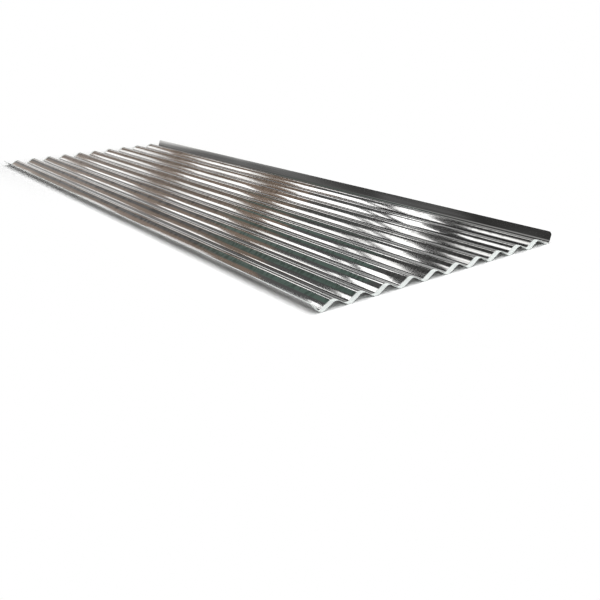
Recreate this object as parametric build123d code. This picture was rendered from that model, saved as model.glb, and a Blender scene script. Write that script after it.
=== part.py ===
from build123d import *
from math import asin, atan2, cos, degrees, hypot, radians, sin
import os

# Corrugations, all sizes in millimetres
pitch = 76.0
depth = 18.0  # underside of a trough to the top of a crest
crest_count = 10
bend_radius = 18.0  # to the middle of the sheet's thickness
thickness = 0.8
length = 2440.0

# Turned-up long edges, measured from the lowest point of the outermost trough
left_lip_out = 23.0
left_lip_rise = 23.0
right_lip_out = 18.0
right_lip_rise = 30.0
lip_bend_radius = 12.0  # of the outermost troughs, to the middle of the thickness
corner_radius = 10.0

# Sizes that follow from the ones above
half_pitch = pitch / 2
mid_depth = depth - thickness
cover_width = crest_count * pitch


# Slope of the straight that leaves a trough bend and touches a point or the next bend
def straight_slope(run, climb, radius_sum):
    reach = climb - radius_sum
    return degrees(atan2(reach, run) + asin(radius_sum / hypot(run, reach)))


left_slope = straight_slope(left_lip_out, left_lip_rise, lip_bend_radius)
right_slope = straight_slope(right_lip_out, right_lip_rise, lip_bend_radius)

# Radii of the troughs and crests in turn from left to right, and slopes of the straights around them
radii = [lip_bend_radius] + [bend_radius] * (2 * crest_count - 1) + [lip_bend_radius]
flank_slopes = [straight_slope(half_pitch, mid_depth, sum(pair)) for pair in zip(radii, radii[1:])]
slopes = [left_slope] + flank_slopes + [right_slope]


# The bends from left to right for the face that lies this far above the middle of the thickness
def bends(above):
    arcs = []
    for number, radius in enumerate(radii):
        x = number * half_pitch
        before, after = slopes[number], slopes[number + 1]
        is_trough = number % 2 == 0
        if is_trough:
            arcs.append(CenterArc((x, radius), radius - above, 270 - before, before + after))
        else:
            arcs.append(CenterArc((x, mid_depth - radius), radius + above, 90 + before, -before - after))
    return arcs


# Where that face ends on the left and on the right edge of the sheet
def lip_ends(above):
    left = radians(left_slope)
    right = radians(right_slope)
    left_end = (-left_lip_out + above * sin(left), left_lip_rise + above * cos(left))
    right_end = (cover_width + right_lip_out - above * sin(right), right_lip_rise + above * cos(right))
    return left_end, right_end


# One face of the section: lip, bends joined by straight flanks, lip
def face_line(above):
    arcs = bends(above)
    left_end, right_end = lip_ends(above)
    pieces = [Line(left_end, arcs[0] @ 0)]
    for bend, following in zip(arcs, arcs[1:]):
        pieces.append(bend)
        pieces.append(Line(bend @ 1, following @ 0))
    pieces.append(arcs[-1])
    pieces.append(Line(arcs[-1] @ 1, right_end))
    return pieces


# The section: upper and lower face closed by the two cut edges
upper_left, upper_right = lip_ends(thickness / 2)
lower_left, lower_right = lip_ends(-thickness / 2)
outline = face_line(thickness / 2) + face_line(-thickness / 2)
outline.append(Line(upper_left, lower_left))
outline.append(Line(upper_right, lower_right))
section = make_face(Curve() + outline)

# The sheet, rolled along its length
sheet = extrude(Plane.XZ * section, amount=length / 2, both=True)

# Rounded corners of the sheet
corners = sheet.edges().filter_by(lambda edge: abs(edge.length - thickness) < thickness / 100)
sheet = fillet(corners, corner_radius)

# Resting on its troughs, centred over the origin
box = sheet.bounding_box()
sheet = Pos(-(box.min.X + box.max.X) / 2, 0, -box.min.Z) * sheet
sheet.label = "corrugated_sheet"

os.makedirs("parts", exist_ok=True)
export_step(sheet, "parts/corrugated_sheet.step")
print("slopes", [round(slope, 2) for slope in slopes])
print("size", sheet.bounding_box().size, "volume", round(sheet.volume, 1))
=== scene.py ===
import bmesh
import bpy
from math import asin, atan2, cos, hypot, pi, radians, sin, tan
from mathutils import Matrix, Vector, noise


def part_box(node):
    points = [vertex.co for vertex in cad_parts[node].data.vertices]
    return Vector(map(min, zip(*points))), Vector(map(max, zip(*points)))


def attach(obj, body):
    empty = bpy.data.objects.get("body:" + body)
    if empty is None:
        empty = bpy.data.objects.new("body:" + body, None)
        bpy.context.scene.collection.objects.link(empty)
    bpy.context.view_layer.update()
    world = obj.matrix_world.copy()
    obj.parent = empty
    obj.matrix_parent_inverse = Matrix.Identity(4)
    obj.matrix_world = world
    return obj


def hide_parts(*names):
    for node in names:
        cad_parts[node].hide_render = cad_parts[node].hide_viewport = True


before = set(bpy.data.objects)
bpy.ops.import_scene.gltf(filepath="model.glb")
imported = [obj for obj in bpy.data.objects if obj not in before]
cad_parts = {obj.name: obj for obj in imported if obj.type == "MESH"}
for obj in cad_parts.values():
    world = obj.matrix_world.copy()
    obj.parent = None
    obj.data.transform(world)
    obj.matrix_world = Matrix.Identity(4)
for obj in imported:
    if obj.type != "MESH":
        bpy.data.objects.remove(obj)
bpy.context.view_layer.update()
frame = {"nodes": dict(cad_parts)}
scene = bpy.context.scene
scene.view_settings.view_transform = "Standard"
print("frame loaded:", ", ".join(frame["nodes"]))


# a socket that takes part in sums; numbers alone stay in Python
class Wire:
    def __init__(self, tree, socket):
        self.tree = tree
        self.socket = socket

    def calc(self, operation, first, second=None):
        node = self.tree.nodes.new("ShaderNodeMath")
        node.operation = operation
        for entry, value in zip(node.inputs, (first, second)):
            plug(self.tree, entry, value)
        return Wire(self.tree, node.outputs[0])

    def __add__(self, other):
        return self.calc("ADD", self, other)

    def __radd__(self, other):
        return self.calc("ADD", other, self)

    def __sub__(self, other):
        return self.calc("SUBTRACT", self, other)

    def __rsub__(self, other):
        return self.calc("SUBTRACT", other, self)

    def __mul__(self, other):
        return self.calc("MULTIPLY", self, other)

    def __rmul__(self, other):
        return self.calc("MULTIPLY", other, self)

    def __truediv__(self, other):
        return self.calc("DIVIDE", self, other)

    def __rtruediv__(self, other):
        return self.calc("DIVIDE", other, self)

    def __pow__(self, other):
        return self.calc("POWER", self, other)

    def __rpow__(self, other):
        return self.calc("POWER", other, self)

    def __abs__(self):
        return self.calc("ABSOLUTE", self)

    def fract(self):
        return self.calc("FRACT", self)

    def floor(self):
        return self.calc("FLOOR", self)

    def sine(self):
        return self.calc("SINE", self)

    def top(self, other):
        return self.calc("MAXIMUM", self, other)

    def out(self, name):
        return Wire(self.tree, self.socket.node.outputs[name])


def plug(tree, entry, value):
    if isinstance(value, Wire):
        tree.links.new(value.socket, entry)
    elif value is not None:
        entry.default_value = value


class Graph:
    def __init__(self, owner):
        owner.use_nodes = True
        self.tree = owner.node_tree
        self.tree.nodes.clear()

    # settings go on first, then the values or links of the sockets
    def node(self, kind, settings=None, sockets=None, out=0):
        node = self.tree.nodes.new(kind)
        for name, value in (settings or {}).items():
            if name == "stops":
                ramp = node.color_ramp
                while len(ramp.elements) < len(value):
                    ramp.elements.new(0.5)
                for element, (place, colour) in zip(ramp.elements, value):
                    element.position = place
                    element.color = (*colour, 1.0)
            else:
                setattr(node, name, value)
        for name, value in (sockets or {}).items():
            plug(self.tree, node.inputs[name], value)
        return Wire(self.tree, node.outputs[out]) if len(node.outputs) else node


# smooth 0 to 1 from one value to the other, which may be the lower one
def ease(graph, value, start, end):
    return graph.node("ShaderNodeMapRange", {"interpolation_type": "SMOOTHSTEP"},
                      {"Value": value, "From Min": start, "From Max": end})


def blendColours(graph, factor, first, second, mode="MIX"):
    return graph.node("ShaderNodeMix", {"data_type": "RGBA", "blend_type": mode},
                      {0: factor, 6: first, 7: second}, out=2)


def cloud(graph, place, scale, detail):
    return graph.node("ShaderNodeTexNoise", None, {"Vector": place, "Scale": scale, "Detail": detail})


def axes(graph, place):
    xyz = graph.node("ShaderNodeSeparateXYZ", None, {"Vector": place})
    return [xyz.out(name) for name in "XYZ"]


sheet = {
    "pitch": 0.076,
    "depth": 0.018,
    "crests": 10,
    "bendRadius": 0.018,
    "lipBendRadius": 0.012,  # outermost troughs
    "thickness": 0.0008,
    "leftLip": (0.023, 0.023),  # out and up from the outermost trough
    "rightLip": (0.018, 0.030),
    "cornerRadius": 0.010,
    "bendSegments": 10,
    "cornerSegments": 5,
    "rings": 96,  # divisions along the length
    "lift": 0.0003,  # waviness, upwards
    "liftGrain": (9.0, 3.1, 0.7),  # noise steps across and along, and its seed
    "drift": 0.00075,  # waviness, sideways
    "driftGrain": (4.0, 2.3, 5.2),
    "crispAngle": 40.0,  # edges that turn by more degrees stay crisp
}


def straightSlope(run, climb, radiusSum):
    reach = climb - radiusSum
    return atan2(reach, run) + asin(radiusSum / hypot(run, reach))


# edges that run along the sheet, from left to right
def lengthwise(bm, tolerance=1e-4):
    edges = [e for e in bm.edges if abs(e.verts[0].co.y - e.verts[1].co.y) > tolerance]
    return sorted(edges, key=lambda e: e.verts[0].co.x)


def wander(v, across, along, seed):
    return noise.noise(Vector((v.co.x * across, v.co.y * along, seed)))


def makeSheet(s):
    low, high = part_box("corrugated_sheet")
    half = s["pitch"] / 2
    width = s["pitch"] * s["crests"]
    mid = s["depth"] - s["thickness"]
    columns = 2 * s["crests"]
    leftOut, leftRise = s["leftLip"]
    rightOut, rightRise = s["rightLip"]
    lipRadius = s["lipBendRadius"]

    # troughs and crests in turn, and the slopes of the straights around them
    radii = [lipRadius] + [s["bendRadius"]] * (columns - 1) + [lipRadius]
    leftSlope = straightSlope(leftOut, leftRise, lipRadius)
    rightSlope = straightSlope(rightOut, rightRise, lipRadius)
    flanks = [straightSlope(half, mid, sum(pair)) for pair in zip(radii, radii[1:])]
    slopes = [leftSlope] + flanks + [rightSlope]
    start = low.x + leftOut + s["thickness"] / 2 * sin(leftSlope)  # first trough

    # flat strip with a column for each fold, moved to where the two straights around it would meet
    bm = bmesh.new()
    bmesh.ops.create_grid(bm, x_segments=columns, y_segments=1, size=0.5)
    bmesh.ops.scale(bm, vec=(width, high.y - low.y, 1), verts=bm.verts)
    bmesh.ops.translate(bm, vec=(start + width / 2, 0, 0), verts=bm.verts)
    for v in bm.verts:
        fold = round((v.co.x - start) / half)
        before, after = slopes[fold], slopes[fold + 1]
        reach = radii[fold] / cos((before + after) / 2)
        sharp = reach * cos((after - before) / 2) - radii[fold]
        v.co.x += reach * sin((after - before) / 2)
        v.co.z = mid + sharp if fold % 2 else -sharp

    # turned-up long edges
    edges = [e for e in lengthwise(bm) if e.is_boundary]
    tips = [(start - leftOut, leftRise), (start + width + rightOut, rightRise)]
    for edge, (x, z) in zip(edges, tips):
        grown = bmesh.ops.extrude_edge_only(bm, edges=[edge])
        for v in [g for g in grown["geom"] if isinstance(g, bmesh.types.BMVert)]:
            v.co.x, v.co.z = x, z

    # round the folds, those of like turn together
    alike = {}
    folds = [e for e in lengthwise(bm) if not e.is_boundary]
    for edge, radius, before, after in zip(folds, radii, slopes, slopes[1:]):
        alike.setdefault(round(radius * tan((before + after) / 2), 7), []).append(edge)
    for offset, edges in alike.items():
        bmesh.ops.bevel(bm, geom=edges, offset=offset, offset_type="OFFSET", affect="EDGES",
                        segments=s["bendSegments"], profile=0.5, material=-1)

    # rings along the length and the slight waviness of a rolled sheet
    bmesh.ops.subdivide_edges(bm, edges=lengthwise(bm), cuts=s["rings"] - 1, use_grid_fill=True)
    for v in bm.verts:
        rise = 1 + wander(v, *s["liftGrain"])
        v.co.x += s["drift"] * wander(v, *s["driftGrain"])
        v.co.z += s["lift"] * rise

    # rounded corners
    corners = [v for v in bm.verts if len(v.link_edges) == 2]
    bmesh.ops.bevel(bm, geom=corners, offset=s["cornerRadius"], offset_type="OFFSET", affect="VERTICES",
                    segments=s["cornerSegments"], profile=0.5, material=-1)

    # the gauge of the sheet
    bmesh.ops.recalc_face_normals(bm, faces=bm.faces)
    if sum(f.normal.z for f in bm.faces) < 0:
        bmesh.ops.reverse_faces(bm, faces=bm.faces)
    bmesh.ops.solidify(bm, geom=bm.faces[:], thickness=s["thickness"])
    bmesh.ops.recalc_face_normals(bm, faces=bm.faces)
    floorLevel = min(v.co.z for v in bm.verts)
    bmesh.ops.translate(bm, vec=(0, 0, -floorLevel), verts=bm.verts)

    slack = 0.2 * s["thickness"]
    for f in bm.faces:
        f.smooth = True
        thin = [e for e in f.edges if abs(e.calc_length() - s["thickness"]) < slack]
        f.material_index = 1 if len(thin) == 2 else 0  # cut edge
    for e in bm.edges:
        e.smooth = e.calc_face_angle(0.0) < radians(s["crispAngle"])
    mesh = bpy.data.meshes.new("sheetSkin")
    bm.to_mesh(mesh)
    bm.free()
    skin = bpy.data.objects.new("sheetSkin", mesh)
    scene.collection.objects.link(skin)
    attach(skin, "root")
    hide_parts("corrugated_sheet")
    print("sheet made:", len(mesh.polygons), "faces")
    return skin, start


zinc = {
    "light": (0.76, 0.757, 0.75, 1.0),
    "dull": (0.56, 0.555, 0.54, 1.0),
    "mark": (0.26, 0.25, 0.24, 1.0),
    "bareAndHighlight": (0.82, 0.86, 0.84, 1.0),  # sheared ends and left edge: bare metal, and partly a painted highlight along them
    "lineShare": 0.35,  # of the roll lines in the dull patches
    "dullSpan": (0.40, 0.62),  # noise values over which a mask sets in
    "markSpan": (0.44, 0.62),
    "breakSpan": (0.34, 0.58),
    "markFoot": (0.38, 0.62),  # the marks' place on a flank, 0 in a trough and 1 on a crest
    "markHead": (0.90, 0.78),
    "markStrength": 0.5,
    "chatterScale": 1.3 / 0.014,  # a mark about every 14 mm
    "endBand": (0.0156, 0.0104),  # distances from the edge over which the bare metal and its painted highlight set in
    "leftBand": (0.0030, 0.0018),
    "lipGap": (0.010, 0.016),  # none near the right edge
    "roughness": 0.06,
    "dullRoughness": 0.04,  # these come on top
    "markRoughness": 0.02,
    "bareAndHighlightRoughness": 0.35,
    "bareAndHighlightMetallic": 0.25,
    "flankDip": 0.0014,  # flanks are a little hollow
    "flankLean": 0.08,  # each wave leans its own way along the length
    "leanSteps": (3.7, 2.2),  # noise steps from wave to wave and along a metre
    "swellHeight": 0.0004,
    "chatterHeight": 0.00002,
    "lineHeight": 0.000004,
}


def makeZinc(z, s, start):
    low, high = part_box("corrugated_sheet")
    material = bpy.data.materials.new("galvanisedZinc")
    graph = Graph(material)
    place = graph.node("ShaderNodeTexCoord", out="Object")
    x, y, _ = axes(graph, place)

    def grain(stretch, scale, detail, seed):
        stretched = graph.node("ShaderNodeMapping", None, {
            "Vector": place, "Scale": stretch, "Location": (seed, seed, seed)})
        return cloud(graph, stretched, scale, detail)

    # climb runs from 0 in a trough to 1 on a crest
    wave = (x - start) / s["pitch"]
    climb = 1.0 - 2.0 * abs(wave.fract() - 0.5)
    perWave, perMetre = z["leanSteps"]
    ownWay = graph.node("ShaderNodeCombineXYZ", None, {"X": perWave * wave.floor(), "Y": perMetre * y})
    lean = cloud(graph, ownWay, scale=1.0, detail=1.0) - 0.5

    # lines along the length and marks across it
    rollLines = grain(stretch=(1.0, 0.004, 1.0), scale=380.0, detail=2.0, seed=1.3)
    chatter = grain(stretch=(0.12, 1.0, 1.0), scale=z["chatterScale"], detail=1.0, seed=3.4)
    patches = grain(stretch=(1.0, 0.2, 1.0), scale=9.0, detail=2.0, seed=7.7)
    swell = grain(stretch=(1.0, 0.3, 1.0), scale=9.0, detail=1.0, seed=2.9)
    breaks = grain(stretch=(1.0, 1.0, 1.0), scale=14.0, detail=2.0, seed=4.1)

    dull = ease(graph, (1.0 - z["lineShare"]) * patches + z["lineShare"] * rollLines, *z["dullSpan"])
    upper = ease(graph, climb, *z["markFoot"]) * ease(graph, climb, *z["markHead"])
    marks = ease(graph, chatter, *z["markSpan"]) * upper * ease(graph, breaks, *z["breakSpan"])
    # a pale band at the ends and along the left edge, none on the right lip: partly bare metal, partly
    # a painted highlight of those edges
    atEnds = ease(graph, high.y - abs(y), *z["endBand"]) * ease(graph, high.x - x, *z["lipGap"])
    atLeft = ease(graph, x - low.x, *z["leftBand"])
    bareAndHighlight = atEnds.top(atLeft)

    colour = blendColours(graph, dull, z["light"], z["dull"])
    colour = blendColours(graph, z["markStrength"] * marks, colour, z["mark"])
    # the pale end and edge band: bare metal with a painted highlight
    colour = blendColours(graph, bareAndHighlight, colour, z["bareAndHighlight"])
    rough = z["roughness"] + z["dullRoughness"] * dull
    rough = rough + z["markRoughness"] * marks + z["bareAndHighlightRoughness"] * bareAndHighlight
    metallic = 1.0 - (1.0 - z["bareAndHighlightMetallic"]) * bareAndHighlight
    height = s["pitch"] / 2 * z["flankLean"] * lean * climb - z["flankDip"] * (pi * climb).sine() ** 2.0
    height = height + z["swellHeight"] * swell
    height = height + z["chatterHeight"] * chatter + z["lineHeight"] * rollLines
    bump = graph.node("ShaderNodeBump", None, {"Strength": 1.0, "Distance": 1.0, "Height": height})
    metal = graph.node("ShaderNodeBsdfPrincipled", None, {
        "Base Color": colour, "Metallic": metallic, "Roughness": rough, "Normal": bump})
    graph.node("ShaderNodeOutputMaterial", None, {"Surface": metal})
    print("zinc made")
    return material


cutEdge = {
    "colour": (0.80, 0.84, 0.82, 1.0),
    "nickColour": (0.64, 0.672, 0.656, 1.0),
    "nickScale": 600.0,
    "roughness": 0.45,
    "nickRoughness": 0.2,  # on top
    "metallic": 0.25,
}


def makeCutEdge(c):
    material = bpy.data.materials.new("shearedEdge")
    graph = Graph(material)
    place = graph.node("ShaderNodeTexCoord", out="Object")
    nicks = cloud(graph, place, c["nickScale"], detail=2.0)
    colour = blendColours(graph, nicks, c["colour"], c["nickColour"])
    rough = c["roughness"] + c["nickRoughness"] * nicks
    metal = graph.node("ShaderNodeBsdfPrincipled", None, {
        "Base Color": colour, "Metallic": c["metallic"], "Roughness": rough})
    graph.node("ShaderNodeOutputMaterial", None, {"Surface": metal})
    print("cut edge made")
    return material


skin, firstTrough = makeSheet(sheet)
skin.data.materials.append(makeZinc(zinc, sheet, firstTrough))
skin.data.materials.append(makeCutEdge(cutEdge))

studio = {
    "floorColour": (0.9, 0.9, 0.9, 1.0),
    "floorSize": 60.0,
    "floorDrop": 0.0003,
    "shadowReach": (0.0, 0.16),  # the floor turns white over this distance from the sheet

    # brightness by height, 0 at the horizon and 1 overhead, in front and behind
    "hall": [(0.0, 1.0), (0.138, 1.0), (0.155, 0.6), (0.18, 0.345), (0.22, 0.31), (0.27, 0.285),
             (0.33, 0.24), (0.39, 0.19), (0.45, 0.148), (0.52, 0.122), (0.58, 0.105), (0.63, 0.095),
             (0.68, 0.088), (0.72, 0.078), (0.76, 0.06), (0.80, 0.05), (0.86, 0.07),
             (0.93, 0.35), (1.0, 0.5)],
    "backHall": [(0.0, 1.0), (0.20, 1.0), (0.26, 0.46), (0.45, 0.28), (0.70, 0.15), (0.85, 0.18),
                 (1.0, 0.5)],
    "backFrom": (0.50, 0.40),
    "horizon": (0.165, 0.135),  # no shade below

    # parts of the hall, from where to where they set in
    "leftWall": {"across": (-0.35, -0.55), "up": (0.34, 0.46), "colour": (0.42, 0.42, 0.42, 1.0)},
    "rightWall": {"across": (0.46, 0.58), "up": (0.34, 0.44), "colour": (0.75, 0.76, 0.76, 1.0)},
    "lowRight": {"across": (0.3, 0.55), "up": (0.42, 0.32)},
    "highRight": {"across": (0.12, 0.25), "up": (0.30, 0.42)},
    "rightShade": 0.5,
    "leftLight": (0.132, 0.396),  # at the posts on the left and between them
    "leftEnd": (-0.75, -0.1),
    "postScale": 13.0,
    "postSpan": (0.40, 0.62),

    "key": {"at": (0.0, -2.5, 6.4), "size": (8.0, 8.0), "level": 2.05},
    "rowHeight": 6.0,  # below the key, which would hide the row
    "row": [(2.0, 4.05, 0.75, 2.1, 1.1), (4.65, 5.35, 0.2, 2.45, 1.45), (5.65, 5.93, 0.9, 2.3, 1.3),
            (6.2, 8.3, 1.15, 2.7, 1.4), (9.3, 12.0, 0.95, 2.55, 1.15), (13.6, 17.0, 1.0, 2.7, 0.95),
            (18.5, 24.0, 1.1, 2.7, 0.85), (-24.0, 1.0, 0.6, 2.1, 0.6),
            (-24.0, 2.6, -2.2, -0.7, 0.4)],  # near, far, left, right and level of each lamp
    "boards": [(7.4, 28.0, -0.2, 4.0, 0.1, (1.0, 0.55, 0.25)),
               (9.0, 28.0, -0.8, 4.0, 0.06, (1.0, 0.5, 0.2)),
               (5.0, 9.4, -3.5, -0.3, 0.04, (0.2, 1.0, 0.65))],  # dim and tinted
    "whitePower": 4.0,  # watts a square metre that show as white
}


def makeFloor(s):
    low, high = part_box("corrugated_sheet")
    bm = bmesh.new()
    bmesh.ops.create_grid(bm, x_segments=1, y_segments=1, size=s["floorSize"] / 2)
    mesh = bpy.data.meshes.new("paleFloor")
    bm.to_mesh(mesh)
    bm.free()
    floor = bpy.data.objects.new("paleFloor", mesh)
    floor.location.z = low.z - s["floorDrop"]
    scene.collection.objects.link(floor)
    material = bpy.data.materials.new("palePaper")
    graph = Graph(material)
    x, y, _ = axes(graph, graph.node("ShaderNodeTexCoord", out="Object"))
    aside = (abs(x) - high.x).top(0.0)
    beyond = (abs(y) - high.y).top(0.0)
    far = (aside * aside + beyond * beyond) ** 0.5
    ray = graph.node("ShaderNodeLightPath", out="Is Camera Ray")
    seen = ray.top(ray.out("Is Glossy Ray")).top(ray.out("Is Transmission Ray"))
    paper = graph.node("ShaderNodeBsdfPrincipled", None, {
        "Base Color": s["floorColour"], "Roughness": 0.9, "Specular IOR Level": 0.1})
    glow = graph.node("ShaderNodeEmission", None, {"Color": (1.0, 1.0, 1.0, 1.0), "Strength": 1.0})
    white = ease(graph, far, *s["shadowReach"]) * seen
    both = graph.node("ShaderNodeMixShader", None, {0: white, 1: paper, 2: glow})
    graph.node("ShaderNodeOutputMaterial", None, {"Surface": both})
    mesh.materials.append(material)
    print("floor made")


# a hall that is white low down and dark above, and lighter at the back,
# with paler walls on the left and right
def makeSky(s):
    world = bpy.data.worlds.new("studioSky")
    scene.world = world
    graph = Graph(world)
    place = graph.node("ShaderNodeTexCoord", out="Generated")
    across, along, up = axes(graph, place)

    def greys(steps):
        stops = [(step, (value, value, value)) for step, value in steps]
        return graph.node("ShaderNodeValToRGB", {"stops": stops}, {"Fac": up}, out="Color")

    def zone(part):
        return ease(graph, across, *part["across"]) * ease(graph, up, *part["up"])

    colour = greys(s["hall"])
    left = zone(s["leftWall"])
    right = zone(s["rightWall"])
    colour = blendColours(graph, left, colour, s["leftWall"]["colour"])
    colour = blendColours(graph, right, colour, s["rightWall"]["colour"])

    # shade on the left, broken by posts, and on the right around the wall
    squashed = graph.node("ShaderNodeMapping", None, {"Vector": place, "Scale": (1.0, 1.0, 0.2)})
    posts = cloud(graph, squashed, s["postScale"], detail=1.0)
    darkest, lightest = s["leftLight"]
    shade = darkest + (lightest - darkest) * ease(graph, posts, *s["postSpan"])
    light = shade + (1.0 - shade) * ease(graph, across, *s["leftEnd"]).top(left)
    dim = zone(s["lowRight"]).top(zone(s["highRight"]) * (1.0 - right))
    light = (light * (1.0 - s["rightShade"] * dim)).top(ease(graph, up, *s["horizon"]))
    colour = blendColours(graph, 1.0, colour, light, "MULTIPLY")

    colour = blendColours(graph, ease(graph, along, *s["backFrom"]), colour, greys(s["backHall"]))
    sky = graph.node("ShaderNodeBackground", None, {"Color": colour, "Strength": 1.0})
    graph.node("ShaderNodeOutputWorld", None, {"Surface": sky})
    print("sky made")


# a flat lamp that looks down and shows about this bright in the metal
def makeLamp(name, at, size, level, tint=(1.0, 1.0, 1.0), mirrored=True):
    lamp = bpy.data.lights.new(name, "AREA")
    lamp.shape = "RECTANGLE"
    lamp.size, lamp.size_y = size
    lamp.energy = studio["whitePower"] * size[0] * size[1] * level
    lamp.color = tint
    holder = bpy.data.objects.new(name, lamp)
    holder.location = at
    holder.visible_glossy = mirrored
    scene.collection.objects.link(holder)


makeFloor(studio)
makeSky(studio)
makeLamp("keyLamp", **studio["key"], mirrored=False)
for number, (near, far, left, right, *look) in enumerate(studio["row"] + studio["boards"]):
    at = ((left + right) / 2, (near + far) / 2, studio["rowHeight"])
    makeLamp("rowLamp" + str(number), at, (right - left, far - near), *look)
print("lamps made")

view = {
    "at": (-1.2185, -2.3396, 0.5646),
    "yaw": 35.01,  # degrees, to the right
    "pitch": 20.91,  # down
    "roll": 1.91,
    "focalPixels": 712.4,
    "framePixels": 600.0,
    "sensor": 36.0,
    "clipEnd": 200.0,
}
lens = bpy.data.cameras.new("photoCamera")
lens.sensor_width = view["sensor"]
lens.sensor_height = view["sensor"]
lens.sensor_fit = "HORIZONTAL"
lens.lens = view["sensor"] * view["focalPixels"] / view["framePixels"]
lens.clip_end = view["clipEnd"]
camera = bpy.data.objects.new("photoCamera", lens)
camera.location = view["at"]
yaw = Matrix.Rotation(radians(-view["yaw"]), 3, "Z")
pitch = Matrix.Rotation(radians(90.0 - view["pitch"]), 3, "X")
roll = Matrix.Rotation(radians(-view["roll"]), 3, "Z")
camera.rotation_euler = (yaw @ pitch @ roll).to_euler()
scene.collection.objects.link(camera)
scene.camera = camera
print("camera set")
